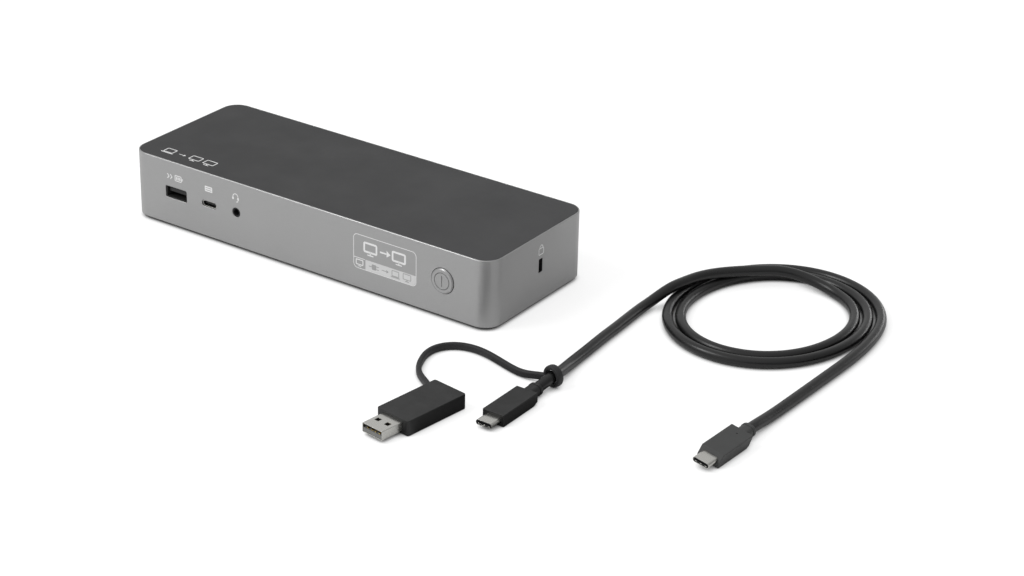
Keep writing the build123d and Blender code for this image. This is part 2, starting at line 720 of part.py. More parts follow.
def place_plug_b():
    """Middle of the outer plug's body, which leans on its lower right-hand edge."""
    return Pos(PLUG_B_X, PLUG_B_Y, PLUG_B_Z) * Rot(0, 0, PLUG_B_TURN) * Rot(0, PLUG_B_ROLL, 0)


def place_tip_a():
    """Mouth of the tethered plug's tip."""
    return place_plug_a() * Pos(0, -PLUG_A_SIZE[1] / 2 - PLUG_A_TIP, 0)


def place_tip_b():
    """Mouth of the outer plug's tip."""
    return place_plug_b() * Pos(0, -PLUG_B_SIZE[1] / 2 - PLUG_B_TIP, 0)


def plug_body(size, side, neck_length, tip):
    """Plug about its own middle: a grip with this side outline, drawn in y and z, a neck that
    ends in a thicker collar, and a pocket for the tip."""
    width, length, _ = size
    back = length / 2
    body = extrude(Plane.YZ * make_face(Polyline(*side, close=True)), amount=width / 2, both=True)
    body = fillet(body.edges(), GRIP_EDGE)
    body += along_y(RectangleRounded(*NECK), 0, 0, back - 4, back + neck_length)
    collar_y = back + neck_length
    collar = along_y(RectangleRounded(*COLLAR), 0, 0, collar_y, collar_y + COLLAR_LENGTH)
    body += fillet(collar.faces().sort_by(Axis.Y)[-1].edges(), 0.8)
    return body - along_y(SlotOverall(*USB_C_MOUTH), 0, 0, -back, TIP_LENGTH - back - tip)


def plug_a_overmold():
    """Slim square-nosed grip of the tethered plug."""
    back, top = PLUG_A_SIZE[1] / 2, PLUG_A_SIZE[2] / 2
    side = [(-back, -top), (back - 2.8, -top), (back, 1.2 - top), (back, top), (-back, top)]
    return place_plug_a() * plug_body(PLUG_A_SIZE, side, PLUG_A_NECK, PLUG_A_TIP)


def plug_b_overmold():
    """Grip with a sloped nose, an undercut back and a small dimple on top."""
    back, top = PLUG_B_SIZE[1] / 2, PLUG_B_SIZE[2] / 2
    side = [(-back, -top), (back - 3.6, -top), (back - 1.8, 0.8 - top), (back, top)]
    side += [(2.4 - back, top), (-back, top - 3.6)]
    body = plug_body(PLUG_B_SIZE, side, PLUG_B_NECK, PLUG_B_TIP)
    return place_plug_b() * (body - disc(0, back - 4.6, 0.35, top - 0.3, top))


def place_adapter():
    return Pos(ADAPTER_X, ADAPTER_Y, 0) * Rot(0, 0, ADAPTER_TURN)


def adapter_plug_frame():
    """Frame of the adapter's USB-A tip."""
    tip_y = -ADAPTER_SIZE[1] / 2 - USB_A_PLUG_LENGTH
    return place_adapter() * Pos(0, tip_y, ADAPTER_SIZE[2] / 2)


def adapter_socket_frame():
    """Frame of the adapter's USB-C socket, in its rear end."""
    return place_adapter() * Pos(0, ADAPTER_SIZE[1] / 2, ADAPTER_SIZE[2] / 2) * Rot(0, 0, 180)


def adapter_housing():
    width, length, height = ADAPTER_SIZE
    body = Pos(0, 0, height / 2) * Box(width, length, height)
    body = fillet(body.edges().filter_by(Axis.Z), 1.1)
    body = fillet(body.faces().sort_by(Axis.Z)[-1].edges(), GRIP_EDGE)
    body = fillet(body.faces().sort_by(Axis.Z)[0].edges(), GRIP_EDGE)
    placed = place_adapter() * body
    outline = SlotOverall(USB_C_MOUTH[0] + 2 * USB_C_WALL, USB_C_MOUTH[1] + 2 * USB_C_WALL)
    return placed - adapter_socket_frame() * along_y(outline, 0, 0, 0, USB_C_DEPTH)


def adapter_usb_a_shell():
    """Folded steel tip with two latch windows in its top."""
    width, height = USB_A_PLUG
    wall = 2 * USB_A_WALL
    inside = Rectangle(width - wall, height - wall)
    shell = tube(RectangleRounded(width, height, 0.4), inside, USB_A_PLUG_LENGTH)
    for x in (-2.9, 2.9):
        shell -= block((x - 1.2, x + 1.2), (5.2, 7.6), (0, height))
    return adapter_plug_frame() * shell


def adapter_usb_a_tongue():
    """Black carrier in the lower half of the tip."""
    side = USB_A_PLUG[0] / 2 - USB_A_WALL
    floor = -USB_A_PLUG[1] / 2 + USB_A_WALL
    carrier = block((-side, side), (0.2, USB_A_PLUG_LENGTH), (floor, -0.1))
    return adapter_plug_frame() * carrier


def adapter_contacts():
    places = (-3.5, -1.0, 1.0, 3.5)
    return [adapter_plug_frame() * block((x - 0.5, x + 0.5), (0.8, 9.0), (-0.1, 0.1)) for x in places]


def adapter_usb_c_receptacle():
    """Shell of the adapter's socket and the tongue inside it."""
    width, height = USB_C_MOUTH
    tongue = along_y(SlotOverall(width, height), 0, 0, 5.6, USB_C_DEPTH)
    tongue += block((-3.35, 3.35), (1.0, 5.6), (-0.35, 0.35))
    return [adapter_socket_frame() * piece for piece in (usb_c_shell(), tongue)]


def tether_strap():
    """Rubber tether: a ring around the cable, and a band that loops to the adapter."""
    place = Pos(RING_X, RING_Y, RING_R) * Rot(0, 0, RING_TURN)
    ring = along_y(Circle(RING_R) - Circle(RING_BORE_R), 0, 0, -RING_W / 2, RING_W / 2)
    ring = fillet(ring.edges().filter_by(GeomType.CIRCLE), 0.6)
    points = [(124.2, -102.8), (116.3, -97.2), (110.1, -93.1), (105.9, -88.8), (102.0, -81.7)]
    points += [(99.9, -74.8), (100.4, -67.5), (105.5, -60.8), (115.4, -57.9), (126.5, -59.6)]
    points += [(137.6, -62.8), (146.5, -64.2), (RING_X - RING_R + 0.8, RING_Y + 0.4)]
    band = extrude(trace(Spline(*points), STRAP_W), amount=STRAP_H)
    root = block((-RING_R - 1, -RING_BORE_R), (-1.2, 1.2), (1.2 - RING_R, 1.0))
    bore = along_y(Circle(RING_BORE_R), 0, 0, -4, 4)
    width, length, height = ADAPTER_SIZE
    keep_out = place_adapter() * (Pos(0, 0, height / 2) * Box(width, length, height))
    return place * ring + (band + place * root - place * bore) - keep_out


# ---------------------------------------------------------------- nodes
def front(x_z, made):
    """Place one or more port pieces at a front port."""
    pieces = made if isinstance(made, list) else [made]
    return [at_front(*x_z) * piece for piece in pieces]


def rear(places, z, made):
    """Repeat one or more port pieces at the rear ports centred on places."""
    pieces = made if isinstance(made, list) else [made]
    return [at_rear(x, z) * piece for x in places for piece in pieces]


def casing_nodes():
    return {
        "housing_frame": housing_frame(),
        "top_cover": top_cover(),
        "base_cover": base_cover(),
        "rear_panel": rear_panel(),
        "rubber_feet": rubber_feet(),
        "case_screws": case_screws(),
        "lock_plate": lock_plate(),
    }


def board_nodes():
    return {
        "main_board": main_board(),
        "board_screws": board_screws(),
        "front_board": front_board(),
        "front_board_standoffs": front_board_standoffs(),
        "board_link_header": board_link_header(),
        "button_board": button_board(),
        "power_led": power_led(),
        "display_chip": display_chip(),
        "thermal_pad": thermal_pad(),
        "heat_sink": heat_sink(),
        "hub_chips": hub_chips(),
        "capacitors": capacitors(),
        "inductors": inductors(),
        "ethernet_transformer": ethernet_transformer(),
    }


def front_port_nodes():
    c_drop = FRONT_USB_C[1] - FRONT_BOARD_TOP
    return {
        "front_usb_a_shell": front(FRONT_USB_A, usb_a_shell()),
        "front_usb_a_tongue": front(FRONT_USB_A, usb_a_tongue()),
        "front_usb_a_contacts": front(FRONT_USB_A, usb_a_contacts()),
        "front_usb_c_shell": front(FRONT_USB_C, usb_c_shell()),
        "front_usb_c_tongue": front(FRONT_USB_C, usb_c_tongue(c_drop)),
        "audio_jack_body": audio_jack_body(),
        "audio_jack_sleeve": audio_jack_sleeve(),
        "power_button": power_button(),
        "switch_body": switch_body(),
        "switch_stem": switch_stem(),
    }


def rear_port_nodes():
    c_tongue = usb_c_tongue(REAR_USB_C_Z - BOARD_TOP)
    displayport_tongue = video_tongue(displayport_outline(), 6.0, 0.1, 1.1)
    hdmi_tongue = video_tongue(hdmi_outline(), 5.6, -0.2, 0.7)
    lights = [ethernet_light(-1), ethernet_light(1)]
    return {
        "rear_usb_a_shells": rear(USB_STACK_X, USB_STACK_Z, usb_stack_shell()),
        "rear_usb_a_tongues": rear(USB_STACK_X, USB_STACK_Z, usb_stack_pair(usb_a_tongue)),
        "rear_usb_a_contacts": rear(USB_STACK_X, USB_STACK_Z, usb_stack_pair(usb_a_contacts)),
        "rear_usb_c_shell": rear([REAR_USB_C_X], REAR_USB_C_Z, usb_c_shell()),
        "rear_usb_c_tongue": rear([REAR_USB_C_X], REAR_USB_C_Z, c_tongue),
        "displayport_shells": rear(DISPLAYPORT_X, DISPLAYPORT_Z, video_shell(displayport_outline())),
        "displayport_tongues": rear(DISPLAYPORT_X, DISPLAYPORT_Z, displayport_tongue),
        "hdmi_shells": rear(HDMI_X, HDMI_Z, video_shell(hdmi_outline())),
        "hdmi_tongues": rear(HDMI_X, HDMI_Z, hdmi_tongue),
        "ethernet_jack": rear([ETHERNET_X], ETHERNET_Z, ethernet_jack()),
        "ethernet_contacts": rear([ETHERNET_X], ETHERNET_Z, ethernet_contacts()),
        "ethernet_lights": rear([ETHERNET_X], ETHERNET_Z, lights),
        "dc_jack_body": rear([DC_X], DC_Z, dc_jack_body()),
        "dc_jack_pin": rear([DC_X], DC_Z, dc_jack_pin()),
    }


def cable_nodes():
    return {
        "cable_coil": cable_coil(),
        "cable_lead_a": cable_lead_a(),
        "plug_a_overmold": plug_a_overmold(),
        "plug_a_shell": place_tip_a() * usb_c_plug_shell(),
        "plug_a_insert": place_tip_a() * usb_c_plug_insert(),
        "cable_lead_b": cable_lead_b(),
        "plug_b_overmold": plug_b_overmold(),
        "plug_b_shell": place_tip_b() * usb_c_plug_shell(),
        "plug_b_insert": place_tip_b() * usb_c_plug_insert(),
        "tether_strap": tether_strap(),
        "adapter_housing": adapter_housing(),
        "adapter_usb_a_shell": adapter_usb_a_shell(),
        "adapter_usb_a_tongue": adapter_usb_a_tongue(),
        "adapter_contacts": adapter_contacts(),
        "adapter_usb_c_receptacle": adapter_usb_c_receptacle(),
    }


def write(nodes):
    """One STEP file for each node; a group of separate solids goes out as a compound."""
    os.makedirs("parts", exist_ok=True)
    for name, made in nodes.items():
        pieces = made if isinstance(made, list) else [made]
        solids = [solid for piece in pieces for solid in piece.solids()]
        shape = solids[0] if len(solids) == 1 else Compound(children=solids)
        export_step(shape, f"parts/{name}.step")


for group in (casing_nodes, board_nodes, front_port_nodes, rear_port_nodes, cable_nodes):
    write(group())
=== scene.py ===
"""Looks of a laptop docking station, its coiled cable and its tethered adapter, built around
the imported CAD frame. Shapes are worked out in millimetres and built in metres."""

import json
import math

import bmesh
import bpy
import numpy as np
from mathutils import Matrix, Vector


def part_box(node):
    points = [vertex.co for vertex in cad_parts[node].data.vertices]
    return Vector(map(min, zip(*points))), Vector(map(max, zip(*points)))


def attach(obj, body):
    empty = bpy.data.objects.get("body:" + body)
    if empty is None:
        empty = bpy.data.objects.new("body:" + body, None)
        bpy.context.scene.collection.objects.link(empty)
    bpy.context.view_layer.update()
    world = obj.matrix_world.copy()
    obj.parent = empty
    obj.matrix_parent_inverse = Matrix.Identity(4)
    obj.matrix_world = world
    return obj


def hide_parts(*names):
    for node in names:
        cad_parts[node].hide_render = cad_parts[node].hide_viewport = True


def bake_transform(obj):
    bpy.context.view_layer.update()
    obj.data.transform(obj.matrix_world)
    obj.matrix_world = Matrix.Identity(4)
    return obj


MM = 0.001

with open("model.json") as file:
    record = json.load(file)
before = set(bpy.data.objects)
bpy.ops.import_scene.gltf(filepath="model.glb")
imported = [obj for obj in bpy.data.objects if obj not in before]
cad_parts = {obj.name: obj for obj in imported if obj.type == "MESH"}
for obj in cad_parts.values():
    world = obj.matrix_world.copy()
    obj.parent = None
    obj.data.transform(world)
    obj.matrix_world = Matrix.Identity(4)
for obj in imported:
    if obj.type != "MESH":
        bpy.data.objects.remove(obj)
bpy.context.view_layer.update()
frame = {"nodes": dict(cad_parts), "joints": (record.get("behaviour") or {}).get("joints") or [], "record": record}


# ------------------------------------------------------------------ measures, mm
def side_of(node, end, axis):
    """Where a node's box starts (end 0) or stops (end 1) along an axis (0 to 2)."""
    return round(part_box(node)[end][axis] / MM, 3)


def place_of(name, entries):
    """Place of the joint or mount that has this name."""
    entry = next(entry for entry in entries if entry["name"] == name)
    return tuple(round(value / MM, 3) for value in entry["pos_m"])


# Dock
FRONT_Y = side_of("housing_frame", 0, 1)
RIGHT_X = side_of("housing_frame", 1, 0)
TOP_Z = side_of("top_cover", 1, 2)
PANEL_Y = side_of("rear_panel", 1, 1)
CORNER_R = 9.0
BUTTON = (82.8, 19.6)
BUTTON_FACE_Y = side_of("power_button", 0, 1)
BUTTON_MARK_DEPTH = 0.2
LOCK = place_of("lock_slot", frame["record"]["mounts"])
LOCK_SIZE = (3.2, 7.0)

# Print
INK = 0.025
INK_SUNK = 0.01

# Cable set
CABLE_R = 2.6
COIL_CENTRE = (206.5, 51.8)
COIL_R = 38.2
COIL_GROWTH = 6.2  # added to the radius by each turn
COIL_OVAL = 3.07
COIL_OVAL_ANGLE = 79.3
TURN_LIFT = 5.36  # height of a turn lying on another one
LEAD_A_CLIMB = (  # x, y and share of the lift where the first lead climbs onto the coil
    (154.7, 4.0, 0.0), (154.2, 12.0, 0.006), (154.0, 20.5, 0.055), (154.9, 28.5, 0.24),
    (156.9, 35.8, 0.66), (158.9, 41.8, 0.95), (160.6, 48.2, 1.0), (162.6, 55.5, 1.0),
    (166.0, 62.8, 1.0),
)
CUT_A_Y, CUT_B_Y = 28, 42  # where the leads' jackets meet the coil's
LEAD_B_X = 255.75
LEAD_B_TURN = -2.25
PLUG_A = (159.5, -94.0, 2.9)  # middle of its grip
PLUG_A_TIP = 19.9  # from the middle to the mouth of the tip
PLUG_A_BACK = 20.6  # from the middle to the end of the neck
PLUG_B = (252.8, -68.9, 3.739)
PLUG_B_TURN = -3.0
PLUG_B_ROLL = 10.0
PLUG_B_TIP = 18.4
PLUG_B_BACK = 19.0
RING = place_of("tether_swing", frame["joints"])
RING_TURN = -12.0
STRAP_W, STRAP_H = 2.5, 3.5
STRAP_Z = STRAP_H / 2


# ------------------------------------------------------------------ materials
class Graph:
    """The node tree of one material, with shorthand for making and joining nodes."""

    def __init__(self, name):
        self.material = bpy.data.materials.new(name)
        self.material.use_nodes = True
        self.tree = self.material.node_tree
        self.tree.nodes.clear()

    def node(self, kind, settings=None, **inputs):
        """Add a node; inputs are values or sockets, named with _ for a space."""
        made = self.tree.nodes.new("ShaderNode" + kind)
        for key, value in (settings or {}).items():
            setattr(made, key, value)
        for key, value in inputs.items():
            self.join(value, made.inputs[key.replace("_", " ")])
        return made

    def join(self, value, socket):
        """Link a socket, or set a plain value."""
        if isinstance(value, bpy.types.NodeSocket):
            self.tree.links.new(value, socket)
        else:
            socket.default_value = value

    def noise(self, vector, size, detail=2.0, roughness=0.5):
        """Noise with features about size mm across."""
        made = self.node("TexNoise", Vector=vector, Scale=1 / (size * MM), Detail=detail,
                         Roughness=roughness)
        return made.outputs[0]

    def remap(self, value, low, high, to_low, to_high):
        """Carry the range low to high over to another range, and stop at its ends."""
        made = self.node("MapRange", Value=value, From_Min=low, From_Max=high, To_Min=to_low,
                         To_Max=to_high)
        return made.outputs[0]

    def calc(self, operation, a, b):
        """Sum, product and the like of two values."""
        made = self.node("Math", {"operation": operation})
        self.join(a, made.inputs[0])
        self.join(b, made.inputs[1])
        return made.outputs[0]

    def mix(self, factor, a, b):
        """Mix of two colours."""
        made = self.node("Mix", {"data_type": "RGBA"})
        self.join(factor, made.inputs[0])
        self.join(a, made.inputs[6])
        self.join(b, made.inputs[7])
        return made.outputs[2]

    def finish(self, shader):
        """The material, with this shader on its surface."""
        self.node("OutputMaterial", Surface=shader)
        return self.material


def grey(level):
    """Colour with the same level in every channel."""
    return (level, level, level)


def tint(color, factor):
    """The colour made lighter or darker, with its alpha."""
    return tuple(min(channel * factor, 1.0) for channel in color) + (1.0,)


def surface(name, color, rough, metallic=0.0, specular=0.5, grain=0.3, relief=0.004, tone=0.08,
            mottle=18.0, wear=0.5, edge=0.15, streaks=None, anisotropic=0.0, sheen=0.0, coat=0.0,
            painted_light_ramp=None):
    """Procedural finish: mottled and grained colour, uneven roughness, fine relief, and edges that are softened
    and worn lighter. Sizes in mm; tone is the spread of brightness. The optional ramp along X is painted light: it
    lightens the colour towards +X as if more light fell there, and is given as two places in metres and its share
    at each."""
    painted_light_gain, bare = 1.7, 1.9
    g = Graph(name)
    place = g.node("TexCoord").outputs["Object"]
    grained = g.node("Mapping", Vector=place, Scale=streaks or (1, 1, 1)).outputs[0]
    fine = g.noise(grained, grain, 3.0, 0.6)
    broad = g.noise(place, mottle, 3.0, 0.55)
    speck = g.noise(place, grain * 4, 2.0, 0.7)

    true = g.node("NewGeometry").outputs["Normal"]
    if edge:
        soft = g.node("Bevel", {"samples": 4}, Radius=edge * MM).outputs[0]
        facing = g.node("VectorMath", {"operation": "DOT_PRODUCT"})
        g.join(soft, facing.inputs[0])
        g.join(true, facing.inputs[1])
        exposed = g.remap(facing.outputs["Value"], 0.995, 0.82, 0.0, 1.0)
    else:
        soft = true
        exposed = g.remap(g.node("NewGeometry").outputs["Pointiness"], 0.5, 0.56, 0.0, 1.0)
    worn = g.calc("MULTIPLY", exposed, g.remap(speck, 0.35, 0.6, 0.3 * wear, wear))

    mottled = g.mix(broad, tint(color, 1 - tone), tint(color, 1 + tone))
    grainy = g.mix(g.remap(fine, 0.35, 0.65, 0.0, 0.5), mottled, tint(color, 1 + 2.2 * tone))
    # Painted light: the colour lightens along X, a gradient of light painted into the colour.
    if painted_light_ramp:
        along = g.node("SeparateXYZ", Vector=place).outputs["X"]
        grainy = g.mix(g.remap(along, *painted_light_ramp), grainy, tint(color, painted_light_gain))
    colored = g.mix(worn, grainy, tint(color, bare))
    uneven = g.calc("ADD", g.remap(broad, 0.3, 0.7, rough - 0.05, rough + 0.05),
                    g.remap(fine, 0.3, 0.7, -0.04, 0.04))
    bump = g.node("Bump", Strength=0.6, Distance=relief * MM, Height=fine, Normal=soft)
    shader = g.node("BsdfPrincipled", Base_Color=colored, Roughness=uneven, Metallic=metallic,
                    Specular_IOR_Level=specular, Normal=bump.outputs[0], Sheen_Weight=sheen,
                    Coat_Weight=coat)
    if anisotropic:
        around = g.node("Tangent", {"direction_type": "RADIAL", "axis": "Z"}).outputs[0]
        g.join(around, shader.inputs["Tangent"])
        g.join(anisotropic, shader.inputs["Anisotropic"])
        g.join(0.25, shader.inputs["Anisotropic Rotation"])
    return g.finish(shader.outputs[0])


# One look for each material slot of the record, and a few more for single pieces and print.
LOOKS = {
    "satin_grey_metal": dict(
        color=grey(0.372), rough=0.40, metallic=0.75, grain=0.16, relief=0.003, tone=0.05,
        mottle=26, wear=0.15, edge=0.2, streaks=(0.04, 0.04, 1.0), anisotropic=0.55),
    # The lid's colour gets lighter towards +X: painted light, not a real change of colour.
    "dark_cover": dict(
        color=(0.0235, 0.0235, 0.0245), rough=0.5, specular=0.35, grain=0.22, relief=0.006,
        tone=0.07, mottle=35, wear=0.3, edge=0.15, painted_light_ramp=(-0.03, 0.13, 0.0, 0.8)),
    "black_plastic": dict(
        color=(0.016, 0.016, 0.017), rough=0.5, specular=0.4, grain=0.25, relief=0.006),
    "rubber": dict(
        color=(0.017, 0.017, 0.018), rough=0.62, specular=0.35, grain=0.18, relief=0.006,
        tone=0.12, mottle=7, wear=0.3, sheen=0.08),
    "steel": dict(
        color=(0.53, 0.525, 0.50), rough=0.27, metallic=1.0, grain=0.12, relief=0.002,
        tone=0.04, mottle=5, wear=0.2, edge=0.08),
    "circuit_board": dict(color=(0.018, 0.09, 0.05), rough=0.35, mottle=8, coat=0.3),
    "brass": dict(color=(0.6, 0.43, 0.18), rough=0.3, metallic=1.0, grain=0.15, mottle=4),
    "led_lens": dict(
        color=(0.62, 0.68, 0.6), rough=0.22, grain=0.1, relief=0.002, mottle=2, coat=0.5),
    "chip": dict(color=(0.02, 0.02, 0.022), rough=0.55, grain=0.12, relief=0.006, mottle=5),
    "thermal_silicone": dict(color=(0.3, 0.34, 0.38), rough=0.75, mottle=6),
    "heat_sink_aluminium": dict(
        color=(0.5, 0.5, 0.52), rough=0.38, metallic=1.0, grain=0.14, mottle=9,
        streaks=(1.0, 0.05, 1.0)),
    "capacitor_can": dict(color=(0.6, 0.6, 0.62), rough=0.3, metallic=1.0, grain=0.15, mottle=4),
    "gold_contacts": dict(
        color=(0.75, 0.53, 0.2), rough=0.25, metallic=1.0, grain=0.08, mottle=2),
    "cable_jacket": dict(
        color=(0.0045, 0.0045, 0.0047), rough=0.31, specular=0.45, relief=0.018, tone=0.2,
        mottle=9, wear=0.3, edge=0),
    "plug_plastic": dict(
        color=(0.0105, 0.0107, 0.0107), rough=0.46, specular=0.4, grain=0.16, relief=0.006,
        tone=0.10, mottle=6, edge=0.12),
    "plug_b_plastic": dict(
        color=(0.047, 0.048, 0.0477), rough=0.5, specular=0.4, grain=0.16, relief=0.006,
        tone=0.10, mottle=6, wear=0.4, edge=0.12),
    "grey_tongue": dict(
        color=(0.15, 0.15, 0.145), rough=0.4, grain=0.12, relief=0.006, tone=0.25, mottle=1.5,
        edge=0.08),
    # Steel darkened as painted shade: it stands in for the shadow inside the front USB-A socket.
    "painted_shade_steel": dict(
        color=grey(0.03), rough=0.45, metallic=0.4, grain=0.12, relief=0.003, mottle=3,
        wear=0.9, edge=0.06),
    "light_ink": dict(
        color=grey(0.78), rough=0.55, grain=0.08, relief=0.002, tone=0.05, mottle=5, wear=0.0),
    "band_ink": dict(
        color=grey(0.62), rough=0.5, grain=0.08, relief=0.002, tone=0.04, mottle=8, wear=0.0),
    "soft_ink": dict(
        color=grey(0.34), rough=0.55, grain=0.08, relief=0.002, tone=0.05, mottle=5, wear=0.0),
    # Dark grey standing in for the shade inside engraved grooves: painted shade.
    "painted_groove_shade": dict(
        color=grey(0.13), rough=0.7, grain=0.1, relief=0.003, tone=0.1, mottle=3, wear=0.0),
}
finishes = {name: surface(name, **look) for name, look in LOOKS.items()}


def paint(obj, finish):
    """Give the whole object one finish."""
    obj.data.materials.clear()
    obj.data.materials.append(finishes[finish])


def paint_cad_nodes():
    """Each CAD node takes the finish of its material slot, unless it has one of its own."""
    own_finish = {
        "plug_b_overmold": "plug_b_plastic",
        # The front USB-A shell gets the steel darkened as painted shade.
        "front_usb_a_shell": "painted_shade_steel",
        "adapter_usb_a_tongue": "grey_tongue",
    }
    for subpart in frame["record"]["subparts"]:
        node = frame["nodes"][subpart["node"]]
        paint(node, own_finish.get(subpart["node"], subpart["material_slot"]))


# ------------------------------------------------------------------ mesh helpers
def mesh_object(name, vertices, faces, smooth=True):
    """Object from points in mm."""
    mesh = bpy.data.meshes.new(name)
    mesh.from_pydata([tuple(v * MM for v in vertex) for vertex in vertices], [], faces)
    mesh.validate()
    obj = bpy.data.objects.new(name, mesh)
    bpy.context.scene.collection.objects.link(obj)
    shape = bmesh.new()
    shape.from_mesh(mesh)
    bmesh.ops.recalc_face_normals(shape, faces=shape.faces)
    shape.to_mesh(mesh)
    shape.free()
    for face in mesh.polygons:
        face.use_smooth = smooth
    return obj


def joined(name, objects):
    """One object made of several, which are removed."""
    merged = bmesh.new()
    for obj in objects:
        merged.from_mesh(obj.data)
        bpy.data.objects.remove(obj)
    mesh = bpy.data.meshes.new(name)
    merged.to_mesh(mesh)
    merged.free()
    whole = bpy.data.objects.new(name, mesh)
    bpy.context.scene.collection.objects.link(whole)
    return whole


def smooth_curve(points, start_direction, end_direction, step):
    """Points about step mm apart along the smooth cubic through the given points."""
    points = np.array(points, float)
    gaps = np.linalg.norm(np.diff(points, axis=0), axis=1)
    slopes = np.diff(points, axis=0) / gaps[:, None]
    count = len(points)
    matrix = np.zeros((count, count))
    right = np.zeros((count, 3))
    matrix[0, 0] = matrix[-1, -1] = 1
    right[0] = np.array(start_direction, float) / np.linalg.norm(start_direction)
    right[-1] = np.array(end_direction, float) / np.linalg.norm(end_direction)
    for i in range(1, count - 1):
        matrix[i, i - 1] = gaps[i]
        matrix[i, i] = 2 * (gaps[i - 1] + gaps[i])
        matrix[i, i + 1] = gaps[i - 1]
        right[i] = 3 * (gaps[i] * slopes[i - 1] + gaps[i - 1] * slopes[i])
    tangents = np.linalg.solve(matrix, right)
    curve = []
    for i, gap in enumerate(gaps):
        pieces = max(int(round(gap / step)), 1)
        for k in range(pieces):
            t = k / pieces
            curve.append((2 * t**3 - 3 * t**2 + 1) * points[i]
                         + (3 * t**2 - 2 * t**3) * points[i + 1]
                         + gap * (t**3 - 2 * t**2 + t) * tangents[i]
                         + gap * (t**3 - t**2) * tangents[i + 1])
    curve.append(points[-1])
    return np.array(curve)


def sweep(name, centres, section):
    """Closed skin of a flat section, given as (side, up) points, carried along the centres."""
    centres = np.array(centres, float)
    ahead = np.gradient(centres, axis=0)
    ahead /= np.linalg.norm(ahead, axis=1)[:, None]
    vertices, faces = [], []
    count = len(section)
    for centre, direction in zip(centres, ahead):
        side = np.cross(direction, (0, 0, 1))
        side /= np.linalg.norm(side)
        up = np.cross(side, direction)
        vertices += [tuple(centre + a * side + b * up) for a, b in section]
    for ring in range(len(centres) - 1):
        base = ring * count
        for k in range(count):
            after = (k + 1) % count
            faces.append((base + k, base + after, base + count + after, base + count + k))
    for end in (vertices[:count], vertices[-count:]):
        faces.append(tuple(range(len(vertices), len(vertices) + count)))
        vertices += end
    return mesh_object(name, vertices, faces)


def circle(x, y, radius, steps=32):
    """Loop of points round a centre."""
    return arc(x, y, radius, 0, 360, steps)[:-1]


def arc(x, y, radius, start, end, steps=16):
    """Open line of points round a centre, angles in degrees."""
    angles = [math.radians(start + (end - start) * k / steps) for k in range(steps + 1)]
    return [(x + radius * math.cos(a), y + radius * math.sin(a)) for a in angles]


def rounded(x0, y0, x1, y1, radius, steps=5):
    """Loop of points round a rectangle with rounded corners."""
    corners = ((x1 - radius, y0 + radius, -90), (x1 - radius, y1 - radius, 0),
               (x0 + radius, y1 - radius, 90), (x0 + radius, y0 + radius, 180))
    loop = []
    for x, y, start in corners:
        loop += arc(x, y, radius, start, start + 90, steps)
    return loop


# ------------------------------------------------------------------ cable
def smooth_step(t):
    """0 up to t = 0, 1 from t = 1, and an even rise between them."""
    t = min(max(t, 0.0), 1.0)
    return t * t * (3 - 2 * t)


def coil_point(turned, outward=0.0, lift=0.0):
    """Point of the oval coil, turned degrees clockwise from its back."""
    oval = COIL_OVAL * math.cos(math.radians(2 * (90 - turned - COIL_OVAL_ANGLE)))
    radius = COIL_R + COIL_GROWTH * turned / 360 + oval + outward
    angle = math.radians(90 - turned)
    x = COIL_CENTRE[0] + radius * math.cos(angle)
    y = COIL_CENTRE[1] + radius * math.sin(angle)
    return (x, y, CABLE_R + lift)


def crossing_point(turned):
    """The incoming lead, on top of the two outer turns, comes down inside them."""
    furthest_out, outside_from, outside_until = 22.0, -112, -30
    down_from, down_at = -32, 24
    still_out = max((outside_until - turned) / (outside_until - outside_from), 0)
    lift = TURN_LIFT * smooth_step((down_at - turned) / (down_at - down_from))
    return coil_point(turned, furthest_out * still_out ** 1.6, lift)


def lead_b_point(y, lift=0.0):
    """Point of the straight run of the second lead."""
    return (LEAD_B_X - y * math.tan(math.radians(LEAD_B_TURN)), y, CABLE_R + lift)


def plug_b_frame():
    """Middle of plug B, which leans on its lower right-hand edge."""
    turn = Matrix.Rotation(math.radians(PLUG_B_TURN), 4, "Z")
    return Matrix.Translation(PLUG_B) @ turn @ Matrix.Rotation(math.radians(PLUG_B_ROLL), 4, "Y")


def cable_path():
    """The whole cable, from behind plug A through the coil to behind plug B."""
    in_neck = 1  # how deep the cable goes into a plug's neck
    points = [(PLUG_A[0], PLUG_A[1] + PLUG_A_BACK - in_neck, PLUG_A[2])]
    points += [(161.2, -64.0, 5.1), (160.85, -60.0, 4.7), (158.4, -46.0, 2.95), (157.0, -30.0, 2.62)]
    points += [(155.55, -11.0, CABLE_R), (155.3, -6.0, CABLE_R), (155.15, -3.25, CABLE_R)]
    points += [(x, y, CABLE_R + TURN_LIFT * share) for x, y, share in LEAD_A_CLIMB]
    points += [crossing_point(turned) for turned in range(-58, 33, 6)]
    points += [coil_point(turned) for turned in range(40, 801, 20)]
    points += [lead_b_point(y) for y in (25.0, 12.75, 10.0, 5.0)]
    points += [lead_b_point(-16.0, 0.02), lead_b_point(-36.0, 0.4)]
    points.append(tuple(plug_b_frame() @ Vector((0, PLUG_B_BACK - in_neck, 0))))
    turn = math.radians(PLUG_B_TURN)
    return smooth_curve(points, (0, 1, 0), (math.sin(turn), -math.cos(turn), 0), step=1.6)


def blend_lead(lead):
    """Bake a lead's placement into its mesh points."""
    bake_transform(lead)


